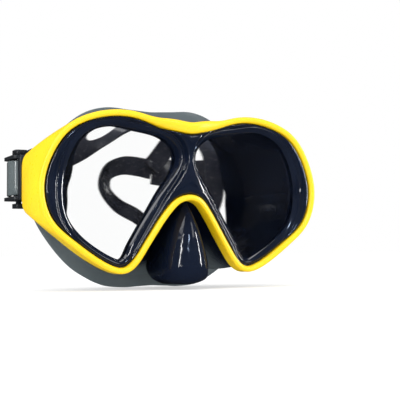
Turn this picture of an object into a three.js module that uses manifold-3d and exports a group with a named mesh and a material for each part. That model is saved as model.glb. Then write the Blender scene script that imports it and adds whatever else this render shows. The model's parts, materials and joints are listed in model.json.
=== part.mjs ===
// Two-window diving mask with a silicone skirt, split strap and two roller buckles.
// Millimetres, +Z up as worn. The glass faces -Y and the wearer's face is at +Y.
// The origin is the middle of the face seal, so every part lies around it.

import * as THREE from 'three';
import { mergeVertices } from 'three/addons/utils/BufferGeometryUtils.js';
import Module from 'manifold-3d';

const wasm = await Module();
wasm.setup();

// ---- driving dimensions -------------------------------------------------------------

const GAP = 0.3;                // clearance between touching pieces
const FRONT_Y = -52;            // front of the nose bridge, ahead of the face seal
const BRIDGE_RISE = 6;          // how far the bridge stands ahead of the lenses
const BRIDGE_SPREAD = 14;       // half-width over which that rise fades
const FRONT_LEAN = -0.035;      // the brow stands slightly ahead of the cheeks
const FRONT_BOW = -0.0009;      // vertical bow of the front

const RIM_WIDTH = 3.0;          // yellow rim, seen from the front
const BROW_WEB = 2.5;           // how much wider the rim is at the middle of the brow
const BROW_WEB_SPREAD = 17;     // half-width of that web
const RIM_DEPTH = 8.5;          // yellow rim, front to back
const RIM_SIDE_DEPTH = 13;      // the same where the arms grow out of it
const RIM_BEVEL = 1.1;          // bevel on the rim's inner edge

const BEZEL_INSET = 0.35;       // bezel edge inside the rim
const BEZEL_PROUD = 0.9;        // bezel face below the rim's front
const LENS_Y = -43.4;           // front of the glass
const LENS_THICKNESS = 3.0;
const LENS_OVERLAP = 1.6;       // glass hidden behind the bezel all round
const WINDOW_FLARE = 3.2;       // how far the bezel's throat opens towards the front

const SKIRT_WALL = 1.9;
const SKIRT_SWELL = 1.5;        // outward bow of the wall between rim and seal
const NECK_INSET = 0.6;         // the skirt's neck inside the rim line
const LIP_THICKNESS = 1.6;      // silicone lip behind the lens edge
const SEAL_WIDTH = 7.2;         // the flange that lies on the face
const SEAL_THICKNESS = 1.5;
const SEAL_HALF_WIDTH = 66;
const SEAL_HALF_HEIGHT = 45;
const TEMPLE_SWEEP = 9;         // how far the seal runs back at the temples
const TEMPLE_DIP = 5;           // how much less it runs back level with the eyes
const TEMPLE_LIP = 10;          // the seal's inner lip at the temples, inwards from the wall

const ARM_END_X = 78;
const ARM_END_Y = -27;
const ARM_END_Z = 1.2;
const ARM_END_HALF = 14;        // half-height of the arm's rear end
const ARM_WALL = 2.6;
const ARM_BULGE = 0.9;          // how far the arm's panel bows outwards

const STRAP_WIDTH = 17;
const STRAP_THICKNESS = 2.2;
const BAND_WIDTH = 11;          // each of the two bands behind the mask

const BUCKLE_Z = 4.5;           // middle of the strap where it rounds the roller
const ROLLER_X = 76.35;
const ROLLER_Y = -17;
const ROLLER_RADIUS = 2.6;
const ROLLER_LENGTH = 17.6;
const ROLLER_FLUTES = 10;
const WRAP_RADIUS = ROLLER_RADIUS + 0.35 + STRAP_THICKNESS / 2;
const PIN_RADIUS = 1.0;
const PIN_CLEARANCE = 0.06;
const EAR_INNER = 9.1;          // inner face of a buckle ear, from the strap's middle
const EAR_OUTER = 10.7;
const PAWL_X = 75.75;
const PAWL_Y = -9;
const PAWL_PIN_RADIUS = 0.8;
const BUTTON_TRAVEL = 1.2;
const BUTTON_REST = EAR_OUTER + BUTTON_TRAVEL + 0.2;
const BUTTON_THICKNESS = 2.2;
const SCREW_X = 75.85;
const SCREW_CLEARANCE = 0.15;

// ---- materials ----------------------------------------------------------------------

const material = (color, roughness, metalness = 0) =>
  new THREE.MeshStandardMaterial({ color, roughness, metalness });

const YELLOW = material(0xf6cf1c, 0.35);
const GLOSS_BLACK = material(0x11161f, 0.15);
const SILICONE = material(0x2c3338, 0.45);
const BUCKLE_BLACK = material(0x15181c, 0.35);
const STEEL = material(0xb8bcc0, 0.3, 1);
const GLASS = new THREE.MeshStandardMaterial({
  color: 0xe8f2f0, roughness: 0.05, metalness: 0, transparent: true, opacity: 0.2,
});

const mask = new THREE.Group();

function addMesh(name, geometry, mat) {
  const mesh = new THREE.Mesh(geometry, mat);
  mesh.name = name;
  mask.add(mesh);
  return mesh;
}

// ---- solids and booleans ------------------------------------------------------------

function toSolid(geometry) {
  const bare = geometry.index ? geometry.toNonIndexed() : geometry.clone();
  bare.deleteAttribute('normal');
  bare.deleteAttribute('uv');
  const merged = mergeVertices(bare, 1e-4);
  return new wasm.Manifold(new wasm.Mesh({
    numProp: 3,
    vertProperties: new Float32Array(merged.attributes.position.array),
    triVerts: new Uint32Array(merged.index.array),
  }));
}

function toGeometry(solid) {
  const mesh = solid.getMesh();
  const geometry = new THREE.BufferGeometry();
  const positions = new Float32Array(mesh.numVert * 3);
  for (let i = 0; i < mesh.numVert; i += 1) {
    for (let k = 0; k < 3; k += 1) {
      positions[3 * i + k] = mesh.vertProperties[mesh.numProp * i + k];
    }
  }
  geometry.setAttribute('position', new THREE.BufferAttribute(positions, 3));
  geometry.setIndex(Array.from(mesh.triVerts));
  return geometry;
}

const union = (solids) => solids.reduce((a, b) => a.add(b));
const cut = (solid, tools) => tools.reduce((a, b) => a.subtract(b), solid);

function box(sx, sy, sz, x, y, z) {
  return toSolid(new THREE.BoxGeometry(sx, sy, sz).translate(x, y, z));
}

function rodZ(radius, length, x, y, z, sides = 14) {
  const rod = new THREE.CylinderGeometry(radius, radius, length, sides);
  return toSolid(rod.rotateX(Math.PI / 2).translate(x, y, z));
}

// A closed body through rings of equal length. The first and last rings are capped.
function loft(rings) {
  const n = rings[0].length;
  const positions = rings.flat().flatMap((p) => [p.x, p.y, p.z]);
  const index = [];
  for (let r = 0; r + 1 < rings.length; r += 1) {
    for (let i = 0; i < n; i += 1) {
      const a = r * n + i;
      const b = r * n + ((i + 1) % n);
      index.push(a, b, b + n, a, b + n, a + n);
    }
  }
  const capFaces = (ring, base, flip) => {
    for (const [a, b, c] of THREE.ShapeUtils.triangulateShape(flattened(ring), [])) {
      index.push(...(flip ? [base + a, base + c, base + b] : [base + a, base + b, base + c]));
    }
  };
  capFaces(rings[0], 0, true);
  capFaces(rings.at(-1), (rings.length - 1) * n, false);
  return outward(positions, index);
}

// A closed tube body whose last ring joins its first.
function loftLoop(rings) {
  const n = rings[0].length;
  const positions = rings.flat().flatMap((p) => [p.x, p.y, p.z]);
  const index = [];
  for (let r = 0; r < rings.length; r += 1) {
    const next = ((r + 1) % rings.length) * n;
    for (let i = 0; i < n; i += 1) {
      const j = (i + 1) % n;
      index.push(r * n + i, r * n + j, next + j, r * n + i, next + j, next + i);
    }
  }
  return outward(positions, index);
}

// A ring's points on its own plane, in the sense that keeps them counter-clockwise.
function flattened(ring) {
  const centre = ring.reduce((s, p) => s.add(p), new THREE.Vector3()).divideScalar(ring.length);
  const normal = new THREE.Vector3();
  ring.forEach((p, i) => {
    const q = ring[(i + 1) % ring.length];
    normal.add(new THREE.Vector3().crossVectors(p.clone().sub(centre), q.clone().sub(centre)));
  });
  normal.normalize();
  const u = ring[0].clone().sub(centre).projectOnPlane(normal).normalize();
  const v = new THREE.Vector3().crossVectors(normal, u);
  return ring.map((p) => new THREE.Vector2(p.clone().sub(centre).dot(u), p.clone().sub(centre).dot(v)));
}

// Turns a shell's faces outwards if its signed volume is negative.
function outward(positions, index) {
  let volume = 0;
  const at = (k) => new THREE.Vector3(...positions.slice(3 * k, 3 * k + 3));
  for (let f = 0; f < index.length; f += 3) {
    const [a, b, c] = [at(index[f]), at(index[f + 1]), at(index[f + 2])];
    volume += a.dot(b.cross(c));
  }
  if (volume < 0) {
    for (let f = 0; f < index.length; f += 3) {
      [index[f + 1], index[f + 2]] = [index[f + 2], index[f + 1]];
    }
  }
  const geometry = new THREE.BufferGeometry();
  geometry.setAttribute('position', new THREE.Float32BufferAttribute(positions, 3));
  geometry.setIndex(index);
  return toSolid(geometry);
}

// ---- outlines -----------------------------------------------------------------------

// Each outline is the +X half, from the brow to the bottom corner and on to the middle.
const RIM_HALF = {
  upper: [[0, 25.4], [13, 28.3], [30, 33.2], [46, 32.0], [60, 25.3], [69, 11.5], [71.9, -2.5],
    [68, -16.2], [56, -27.1], [40.5, -37.4], [33.6, -39.9]],
  lower: [[33.6, -39.9], [29.4, -37.2], [21.5, -25.6], [12.8, -12.3], [6.6, -5.4], [0, -3.4]],
};
const SEAL_HALF = {
  upper: [[0, 43.5], [12, 44.3], [25, 45], [37, 41.5], [50, 31], [60, 18], [66, 2], [64, -12],
    [56, -26], [44, -39.5], [33, -46.5]],
  lower: [[33, -46.5], [26, -49], [15, -50], [8, -49.6], [0, -49.2]],
};
const WINDOW = [[5.5, 13], [7.4, 20], [13, 24.3], [26, 27], [42, 28.6], [53.5, 23], [60.3, 11],
  [62.4, -3], [60, -15.5], [53, -24.4], [38.5, -33.8], [33.2, -35.2], [29.2, -28], [16, -5.6]];

const MIDDLE_Z = 10;             // every outline can be seen whole from this height
const UPPER_STEPS = 28;
const LOWER_STEPS = 12;

function halfCurve(points, steps) {
  const curve = new THREE.CatmullRomCurve3(
    points.map(([x, z]) => new THREE.Vector3(x, 0, z)), false, 'centripetal');
  return curve.getSpacedPoints(steps);
}

// The whole closed outline, from the brow's middle round by +X, as points with y = 0.
function outline(half) {
  const top = halfCurve(half.upper, UPPER_STEPS);
  const right = [...top, ...halfCurve(half.lower, LOWER_STEPS).slice(1)];
  const left = right.slice(1, -1).reverse().map((p) => new THREE.Vector3(-p.x, 0, p.z));
  return [...right, ...left];
}

// Moves every point of a closed outline out along its normal. Negative moves it in. The
// distance is a number, or a function of the point.
function offset(ring, distance) {
  const n = ring.length;
  return ring.map((p, i) => {
    const along = ring[(i + 1) % n].clone().sub(ring[(i + n - 1) % n]).normalize();
    const by = typeof distance === 'function' ? distance(p) : distance;
    return new THREE.Vector3(p.x - along.z * by, p.y, p.z + along.x * by);
  });
}

// The curved front of the mask at a given place.
function frontY(x, z) {
  const rise = BRIDGE_RISE * x * x / (x * x + BRIDGE_SPREAD * BRIDGE_SPREAD);
  return FRONT_Y + rise + FRONT_LEAN * z + FRONT_BOW * z * z;
}

// The curved plane on which the seal meets the face.
function faceY(x, z) {
  const sweep = (x / SEAL_HALF_WIDTH) ** 2;
  const level = 1 - (z / SEAL_HALF_HEIGHT) ** 2;
  return (TEMPLE_SWEEP - TEMPLE_DIP * level) * sweep;
}

// The rim is deeper at the mask's two sides, where it carries the arms.
const rimDepth = (x) =>
  RIM_DEPTH + (RIM_SIDE_DEPTH - RIM_DEPTH) * THREE.MathUtils.smoothstep(Math.abs(x), 38, 68);

const onFront = (ring, depth) =>
  ring.map((p) => new THREE.Vector3(p.x, frontY(p.x, p.z) + depth, p.z));
const onFace = (ring, depth) =>
  ring.map((p) => new THREE.Vector3(p.x, faceY(p.x, p.z) + depth, p.z));
const onLens = (ring, depth) =>
  ring.map((p) => new THREE.Vector3(p.x, LENS_Y + FRONT_LEAN * p.z + depth, p.z));

// A closed outline shrunk towards the middle of the mask.
const shrunk = (ring, k) =>
  ring.map((p) => new THREE.Vector3(p.x * k, p.y, MIDDLE_Z + (p.z - MIDDLE_Z) * k));

// Rings from the middle out to the outline, so that a plate follows the curved front.
const domed = (ring, place, scales) => scales.map((k) => place(shrunk(ring, k)));

const rimLine = outline(RIM_HALF);
const sealLine = outline(SEAL_HALF);

// ---- frame --------------------------------------------------------------------------

// The rim's outline moved out by a part of its width, which grows to a web at the brow.
function acrossRim(out) {
  const web = (p) => (p.z > 0 ? BROW_WEB * Math.exp(-((p.x / BROW_WEB_SPREAD) ** 4)) : 0);
  return offset(rimLine, (p) => out + (out / RIM_WIDTH) * web(p));
}

// The yellow rim: a bevelled section carried round the outline, and the same with a margin.
function rimSolid(margin = 0) {
  const front = [[-margin, RIM_BEVEL], [RIM_BEVEL, -margin], [RIM_WIDTH - 0.8, 0.1 - margin],
    [RIM_WIDTH + margin, 1.2]];
  const tracks = front.map(([out, depth]) => onFront(acrossRim(out), depth));
  for (const out of [RIM_WIDTH + margin, -margin]) {
    const ring = onFront(acrossRim(out), margin);
    tracks.push(ring.map((p) => p.setY(p.y + rimDepth(p.x))));
  }
  return loftLoop(rimLine.map((_, i) => tracks.map((track) => track[i])));
}

// One side arm: a convex panel that runs from the rim's side back to the buckle. Its lining
// starts at the rim's rear edge, so the arm is a wedge that thins towards the buckle.
function armSolid(side) {
  const across = 14;
  const along = 6;
  const first = 9.9;             // where along the outline the arm's upper edge starts
  const last = 23.2;             // and its lower edge
  const cornerRound = (t) => t ** 6;
  const outer = offset(rimLine, RIM_WIDTH * 0.55);
  const panel = (inset, depth) => Array.from({ length: across + 1 }, (_, k) => {
    const t = 1 - 2 * k / across;
    const at = first + (last - first) * k / across;
    const i = Math.floor(at);
    const p = outer[i].clone().lerp(outer[i + 1], at - i);
    const front = new THREE.Vector3(p.x, frontY(p.x, p.z) + depth, p.z);
    const rear = new THREE.Vector3(
      ARM_END_X - inset - 1.6 * cornerRound(t),
      ARM_END_Y - 1.5 * cornerRound(t),
      ARM_END_Z + (ARM_END_HALF - inset * 0.3) * t);
    return Array.from({ length: along + 1 }, (_, s) => {
      const q = s / along;
      const point = front.clone().lerp(rear, q);
      const x = point.x + ARM_BULGE * Math.sin(Math.PI * q);
      return new THREE.Vector3(side * x, point.y, point.z);
    });
  });
  const skin = panel(0, 0.4);
  const lining = panel(ARM_WALL, RIM_SIDE_DEPTH - 2.5);
  return loft(skin.map((row, k) => [...row, ...lining[k].slice().reverse()]));
}

function frameSolid(margin = 0) {
  return union([armSolid(1), armSolid(-1), rimSolid(margin)]);
}

function buildFrame() {
  const screws = [1, -1].map((side) => screwSolid(side, SCREW_CLEARANCE));
  addMesh('main_frame', toGeometry(cut(frameSolid(), screws)), YELLOW);
}

// ---- bezel and glass ----------------------------------------------------------------

function windowLine(side, out) {
  const curve = new THREE.CatmullRomCurve3(
    WINDOW.map(([x, z]) => new THREE.Vector3(x, 0, z)), true, 'centripetal');
  const ring = offset(curve.getSpacedPoints(40).slice(0, -1), out);
  return side > 0 ? ring : ring.map((p) => new THREE.Vector3(-p.x, p.y, p.z)).reverse();
}

function buildBezel() {
  const edge = offset(rimLine, -BEZEL_INSET);
  const step = offset(rimLine, -2.2);
  const face = (ring) => onFront(ring, BEZEL_PROUD);
  const plate = loft([
    ...domed(step, face, [0.08, 0.25, 0.5, 0.78]), face(step),
    onFront(edge, BEZEL_PROUD + 0.8), onLens(edge, -GAP),
  ]);
  const throats = [1, -1].map((side) => loft([
    onLens(windowLine(side, WINDOW_FLARE + 0.6), -14),
    onLens(windowLine(side, WINDOW_FLARE), -7),
    onLens(windowLine(side, 1.4), -3),
    onLens(windowLine(side, 0), 1.0),
  ]));
  addMesh('lens_bezel', toGeometry(cut(plate, throats)), GLOSS_BLACK);
}

function buildLens(side, name) {
  const ring = windowLine(side, LENS_OVERLAP);
  addMesh(name, toGeometry(loft([onLens(ring, 0), onLens(ring, LENS_THICKNESS)])), GLASS);
}

// ---- skirt --------------------------------------------------------------------------

// The wall's rings, from behind the glass to the seal, drawn in by the given amount. The wall
// starts inside the rim, where it backs the lenses, and widens once it has passed the rim.
function skirtRings(inset) {
  const neck = offset(rimLine, -NECK_INSET - inset);
  const backing = onLens(neck, LENS_THICKNESS + GAP);
  const clear = onFront(neck, 2 * GAP).map((p, i) =>
    p.setY(Math.max(p.y + rimDepth(p.x), backing[i].y + LIP_THICKNESS)));
  const back = onFace(offset(sealLine, -SEAL_WIDTH - inset), -SEAL_THICKNESS);
  const steps = 5;
  const wall = Array.from({ length: steps + 1 }, (_, s) => {
    const t = s / steps;
    const straight = clear.map((p, i) => p.clone().lerp(back[i], t));
    return offset(straight, SKIRT_SWELL * Math.sin(Math.PI * t));
  });
  return [backing, ...wall];
}

// The same ring moved straight back by the given amount.
const pushed = (ring, back) => ring.map((p) => new THREE.Vector3(p.x, p.y + back, p.z));

// The nose pocket: level sections from the bridge down to a blunt bottom, whose floor
// rises towards the seal.
const NOSE_LEVELS = [
  { z: -7.5, half: 2.6, front: -45, back: -8 },
  { z: -14, half: 5.4, front: -49, back: -8 },
  { z: -22, half: 8.0, front: -52, back: -8 },
  { z: -32, half: 10.4, front: -54, back: -8 },
  { z: -40, half: 11.7, front: -54.5, back: -5 },
  { z: -45, half: 11.2, front: -53, back: -14 },
  { z: -47.6, half: 9.0, front: -50, back: -24 },
];
const NOSE_ROUND = 14;          // front-to-back radius of the pocket's front

function noseSolid(inset, backReach) {
  const around = 24;
  const rings = NOSE_LEVELS.map(({ z, half, front, back }, k) => {
    const lowest = k === NOSE_LEVELS.length - 1;
    const level = z + (lowest ? inset : 0) - (k === 0 ? inset : 0);
    const width = Math.max(half - inset, 0.8);
    const tip = front + inset;
    const widest = tip + NOSE_ROUND;
    const tail = back + backReach - (k > 3 ? inset : 0);
    return Array.from({ length: around }, (_, i) => {
      const a = (i / around) * Math.PI * 2;
      const reach = Math.cos(a) < 0 ? NOSE_ROUND : tail - widest;
      const x = width * Math.sin(a) * (1 + 0.12 * Math.abs(Math.cos(a)));
      return new THREE.Vector3(x, widest + reach * Math.cos(a), level);
    });
  });
  return loft(rings);
}

// How much of the temple lip a point of the seal has: all of it beside the eye, and none at
// the brow or below the cheek.
function templeShare(p) {
  const { smoothstep } = THREE.MathUtils;
  const below = smoothstep(p.z, -28, -2);
  const above = 1 - smoothstep(p.z, 6, 34);
  return smoothstep(Math.abs(p.x), 12, 56) * below * above;
}

function buildSkirt() {
  const outer = skirtRings(0);
  const inner = skirtRings(SKIRT_WALL);
  const wall = loft([...outer, pushed(outer.at(-1), SEAL_THICKNESS / 2)]);
  const front = (ring) => onFace(ring, -SEAL_THICKNESS);
  const rear = (ring) => onFace(ring, 0);
  const flange = loft([...domed(sealLine, front, [0.5, 0.78]), front(sealLine), rear(sealLine),
    ...domed(sealLine, rear, [0.78, 0.5])]);
  const cavity = loft([pushed(inner[0], -3), ...inner]);
  const lip = offset(sealLine, -SEAL_WIDTH - SKIRT_WALL).map((p) =>
    p.setX(p.x - Math.sign(p.x) * TEMPLE_LIP * templeShare(p)));
  const mouth = loft([onFace(lip, -SEAL_THICKNESS - 2), onFace(lip, 8)]);
  const pocket = noseSolid(0, 0);
  const pocketInside = noseSolid(SKIRT_WALL, 1);
  const hollows = [cavity, mouth, pocketInside, frontPocketClearance()];
  const skirt = cut(union([wall, flange, pocket]), hollows);
  addMesh('skirt', toGeometry(cut(skirt.add(lensLedge()), [frameSolid(GAP)])), SILICONE);
}

// A thin lip of silicone that backs the edge of both lenses.
function lensLedge() {
  const outer = offset(rimLine, -NECK_INSET);
  const plate = loft([onLens(outer, LENS_THICKNESS + GAP),
    onLens(outer, LENS_THICKNESS + GAP + LIP_THICKNESS)]);
  const openings = [1, -1].map((side) => loft([
    onLens(windowLine(side, 0.4), LENS_THICKNESS - 1),
    onLens(windowLine(side, 0.4), LENS_THICKNESS + 4),
  ]));
  return cut(plate, openings);
}

// Space taken by the rim, bezel and lenses, which the skirt keeps out of.
function frontPocketClearance() {
  const inner = offset(rimLine, -0.3);
  return loft([onFront(inner, -6), onLens(inner, LENS_THICKNESS + GAP)]);
}

// ---- buckles ------------------------------------------------------------------------

// A plate lying level: a rounded rectangle between two heights measured from the strap.
function levelPlate(side, [x0, x1], [y0, y1], [z0, z1], corner) {
  const shape = new THREE.Shape();
  shape.moveTo(x0 + corner, y0);
  shape.lineTo(x1 - corner, y0);
  shape.absarc(x1 - corner, y0 + corner, corner, -Math.PI / 2, 0);
  shape.lineTo(x1, y1 - corner);
  shape.absarc(x1 - corner, y1 - corner, corner, 0, Math.PI / 2);
  shape.lineTo(x0 + corner, y1);
  shape.absarc(x0 + corner, y1 - corner, corner, Math.PI / 2, Math.PI);
  shape.lineTo(x0, y0 + corner);
  shape.absarc(x0 + corner, y0 + corner, corner, Math.PI, Math.PI * 1.5);
  const ring = shape.getPoints(2).slice(0, -1).map((p) => new THREE.Vector3(side * p.x, p.y, 0));
  const unique = ring.filter((p, k) => p.distanceTo(ring[(k + 1) % ring.length]) > 1e-3);
  const lift = (z) => unique.map((p) => new THREE.Vector3(p.x, p.y, BUCKLE_Z + z));
  return loft([lift(z0), lift(z1)]);
}

const BASE_FRONT = ARM_END_Y + 0.5;
const BLOCK_X = [73.25, 78.45];
const EAR_X = [71.15, 81.15];
const EAR_REAR = -5.7;
const CAP_X = [71.45, 77.45];
const CAP_Y = [-15.5, -7.5];
const STEM = { x: [74.05, 76.35], y: [-13.8, -11.2] };
const SLOT_MARGIN = 0.25;

function buildBase(side, name) {
  const blockY = [BASE_FRONT, BASE_FRONT + 3.6];
  const block = levelPlate(side, BLOCK_X, blockY, [-EAR_OUTER, EAR_OUTER], 0.6);
  const ears = [1, -1].map((up) => levelPlate(side, EAR_X, [BASE_FRONT + 2.6, EAR_REAR],
    up > 0 ? [EAR_INNER, EAR_OUTER] : [-EAR_OUTER, -EAR_INNER], 2.4));
  const slotX = [STEM.x[0] - SLOT_MARGIN, STEM.x[1] + SLOT_MARGIN];
  const slotY = [STEM.y[0] - SLOT_MARGIN, STEM.y[1] + SLOT_MARGIN];
  const slot = levelPlate(side, slotX, slotY, [-EAR_OUTER - 1, EAR_OUTER + 1], 0.4);
  const bores = [
    rodZ(PIN_RADIUS + PIN_CLEARANCE, 40, side * ROLLER_X, ROLLER_Y, BUCKLE_Z),
    rodZ(PAWL_PIN_RADIUS + PIN_CLEARANCE, 40, side * PAWL_X, PAWL_Y, BUCKLE_Z),
    screwSolid(side, SCREW_CLEARANCE),
  ];
  addMesh(name, toGeometry(cut(union([block, ...ears]), [slot, ...bores])), BUCKLE_BLACK);
}

// The screw that holds a buckle to its arm, driven from behind.
function screwSolid(side, margin = 0) {
  const rodY = (radius, y0, y1) => {
    const rod = new THREE.CylinderGeometry(radius, radius, y1 - y0, 12);
    return toSolid(rod.translate(side * SCREW_X, (y0 + y1) / 2, BUCKLE_Z));
  };
  const seat = BASE_FRONT + 2.2;
  return rodY(1.2 + margin, BASE_FRONT - 5.6 - margin, seat).add(
    rodY(2.2 + margin, seat - 0.01, BASE_FRONT + 3.4 + 10 * margin));
}

function buildScrew(side, name) {
  const slot = box(4, 1.4, 0.7, side * SCREW_X, BASE_FRONT + 3.4, BUCKLE_Z);
  addMesh(name, toGeometry(cut(screwSolid(side), [slot])), STEEL);
}

// The fluted roller that the strap rounds, free to turn on its pin.
function buildRoller(side, name) {
  const ring = Array.from({ length: ROLLER_FLUTES * 4 }, (_, i) => {
    const a = (i / (ROLLER_FLUTES * 4)) * Math.PI * 2;
    const r = ROLLER_RADIUS - 0.22 + 0.22 * Math.cos(ROLLER_FLUTES * a);
    return new THREE.Vector3(r * Math.cos(a) + side * ROLLER_X, r * Math.sin(a) + ROLLER_Y, 0);
  });
  const at = (z) => ring.map((p) => new THREE.Vector3(p.x, p.y, BUCKLE_Z + z));
  const body = loft([at(-ROLLER_LENGTH / 2), at(ROLLER_LENGTH / 2)]);
  const bore = rodZ(PIN_RADIUS + PIN_CLEARANCE, 30, side * ROLLER_X, ROLLER_Y, BUCKLE_Z);
  addMesh(name, toGeometry(cut(body, [bore])), BUCKLE_BLACK);
}

function buildPin(side, name, radius, x, y) {
  addMesh(name, toGeometry(rodZ(radius, 2 * EAR_OUTER - 0.4, side * x, y, BUCKLE_Z)), STEEL);
}

const PAWL_HALF = 3.6;

// The toothed pawl between the strap's two layers, which bites the free end from inside.
function buildPawl(side, name) {
  const bite = [[0.1, -0.9], [2.0, -4.4], [2.7, -3.9], [2.2, -2.9], [2.8, -2.2], [2.2, -1.3],
    [1.4, 0.5]];
  const at = (z) => bite.map(([x, y]) =>
    new THREE.Vector3(side * (PAWL_X + x), PAWL_Y + y, BUCKLE_Z + z));
  const hub = rodZ(1.6, 2 * PAWL_HALF, side * PAWL_X, PAWL_Y, BUCKLE_Z);
  const bore = rodZ(PAWL_PIN_RADIUS + PIN_CLEARANCE, 30, side * PAWL_X, PAWL_Y, BUCKLE_Z);
  const pawl = loft([at(-PAWL_HALF), at(PAWL_HALF)]).add(hub);
  addMesh(name, toGeometry(cut(pawl, [bore])), BUCKLE_BLACK);
}

// The closed-wound spring on the pawl's pin, above the pawl.
function buildPawlSpring(side, name) {
  const turns = 4;
  const wire = 0.8;
  const inner = PAWL_PIN_RADIUS + 0.15;
  const profile = [new THREE.Vector2(inner, 0)];
  for (let k = 0; k < turns; k += 1) {
    profile.push(new THREE.Vector2(inner + 0.25, k * wire));
    profile.push(new THREE.Vector2(inner + 0.65, (k + 0.5) * wire));
  }
  profile.push(new THREE.Vector2(inner + 0.25, turns * wire));
  profile.push(new THREE.Vector2(inner, turns * wire));
  profile.push(profile[0].clone());
  const coil = new THREE.LatheGeometry(profile, 12).rotateX(Math.PI / 2);
  coil.translate(side * PAWL_X, PAWL_Y, BUCKLE_Z + PAWL_HALF + 0.35);
  const solid = toSolid(coil);
  const fixed = solid.volume() > 0 ? coil : flipped(coil);
  addMesh(name, toGeometry(toSolid(fixed)), STEEL);
}

function flipped(geometry) {
  const copy = geometry.index ? geometry.toNonIndexed() : geometry.clone();
  const a = copy.attributes.position.array;
  for (let f = 0; f < a.length; f += 9) {
    for (let k = 0; k < 3; k += 1) {
      [a[f + 3 + k], a[f + 6 + k]] = [a[f + 6 + k], a[f + 3 + k]];
    }
  }
  return copy;
}

// A ribbed push button with a stem that reaches through the ear towards the pawl.
function buildButton(side, up, name) {
  const heights = (a, b) => (up > 0 ? [a, b] : [-b, -a]);
  const capZ = heights(BUTTON_REST, BUTTON_REST + BUTTON_THICKNESS);
  const cap = levelPlate(side, CAP_X, CAP_Y, capZ, 1.6);
  const stemFoot = PAWL_HALF + BUTTON_TRAVEL + 1;
  const stem = levelPlate(side, STEM.x, STEM.y, heights(stemFoot, BUTTON_REST + 0.5), 0.3);
  const capMiddle = side * (CAP_X[0] + CAP_X[1]) / 2;
  const capTop = BUCKLE_Z + up * (BUTTON_REST + BUTTON_THICKNESS);
  const grooves = [1.6, 3.3, 5.0, 6.7].map((back) =>
    box(12, 0.7, 0.9, capMiddle, CAP_Y[0] + back, capTop));
  addMesh(name, toGeometry(cut(cap.add(stem), grooves)), BUCKLE_BLACK);
}

function buildBuckle(side, label) {
  buildBase(side, `buckle_base_${label}`);
  buildScrew(side, `buckle_screw_${label}`);
  buildRoller(side, `strap_roller_${label}`);
  buildPin(side, `roller_pin_${label}`, PIN_RADIUS, ROLLER_X, ROLLER_Y);
  buildPawl(side, `pawl_${label}`);
  buildPin(side, `pawl_pin_${label}`, PAWL_PIN_RADIUS, PAWL_X, PAWL_Y);
  buildPawlSpring(side, `pawl_spring_${label}`);
  buildButton(side, 1, `button_upper_${label}`);
  buildButton(side, -1, `button_lower_${label}`);
}

// ---- strap --------------------------------------------------------------------------

// Route points are [x, y, z, width direction x, y, z], chosen by hand along a slack strap.
const TAIL_END = [
  [70.8, 15.5, 8.6, 0, 0, 1], [73.2, 9.5, 7.4, 0, 0, 1], [76.2, 1.5, 5.4, 0, 0, 1],
  [79.1, -8.5, 4.5, 0, 0, 1], [80.35, -14.5, 4.5, 0, 0, 1],
];
const ROUTES = {
  right: [[72.25, -12.5, 4.6, 0, 0, 1], [71.4, -2, 4.6, 0, 0, 1], [69.6, 6.5, 7.6, 0, 0, 1],
    [66.2, 15, 10.6, 0, 0.1, 1], [59.4, 23.4, 13.8, 0, 0.3, 1], [46.2, 31, 14.5, -0.1, 0.5, 1],
    [33, 35.5, 13.6, -0.1, 0.4, 1], [17, 37, 16, -0.2, 0, 1]],
  left: [[-72.25, -12.5, 4.6, 0, 0, 1], [-71.3, -2, 4.6, 0, 0, 1], [-69.0, 5.5, 8.8, 0, 0, 1],
    [-63.6, 11.6, 12.6, 0, 0, 1], [-51, 16, 18, 0, 0.1, 1], [-35.5, 20, 25.5, -0.2, 0.3, 1],
    [-22, 25.5, 33.5, -0.4, 0.4, 0.9], [-7, 30, 40.5, -0.3, 0.7, 0.6], [12, 32, 43.5, 0, 1, 0.3],
    [29, 32, 42, 0.4, 0.7, 0.8]],
};
const SPLIT = { from: 0.665, to: 0.8, width: 6 };   // slot in the left half where it divides

const STEM_BAND = [[26.2, 32.3, 41.4, 0.6, 0, 0.6], [29.5, 33, 36, 0.9, -0.3, 0],
  [25, 34.5, 29.5, 0.8, -0.3, -0.5], [19, 36.5, 21, 0.7, -0.2, -0.6], [14, 37, 15.5, 0.4, 0, 0.9]];
const LOOP_BAND = [[27, 31.5, 42, 0.5, 0, 0.8], [39, 28, 39.5, 0.9, -0.2, 0.5], [47.5, 25, 29, 1, -0.3, 0.1],
  [50, 23, 14, 1, -0.3, 0], [49.5, 23.5, -1, 1, -0.4, -0.1], [42, 24.5, -14, 0.8, -0.5, -0.4],
  [27, 25.5, -20.5, 0.3, -0.6, -0.8], [12, 26, -17.5, -0.2, -0.6, -0.8],
  [2, 26.5, -11, -0.4, -0.6, -0.7],
  [-8.5, 28, -5, -0.6, -0.6, -0.5], [-15, 30, 4, -0.8, -0.6, 0.1], [-12.5, 32.5, 13, -0.5, -0.6, 0.6],
  [-3, 35, 17.6, -0.1, -0.5, 0.9], [8, 36.5, 17.5, 0, -0.3, 1], [16, 37, 16, 0, 0, 1]];

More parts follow.
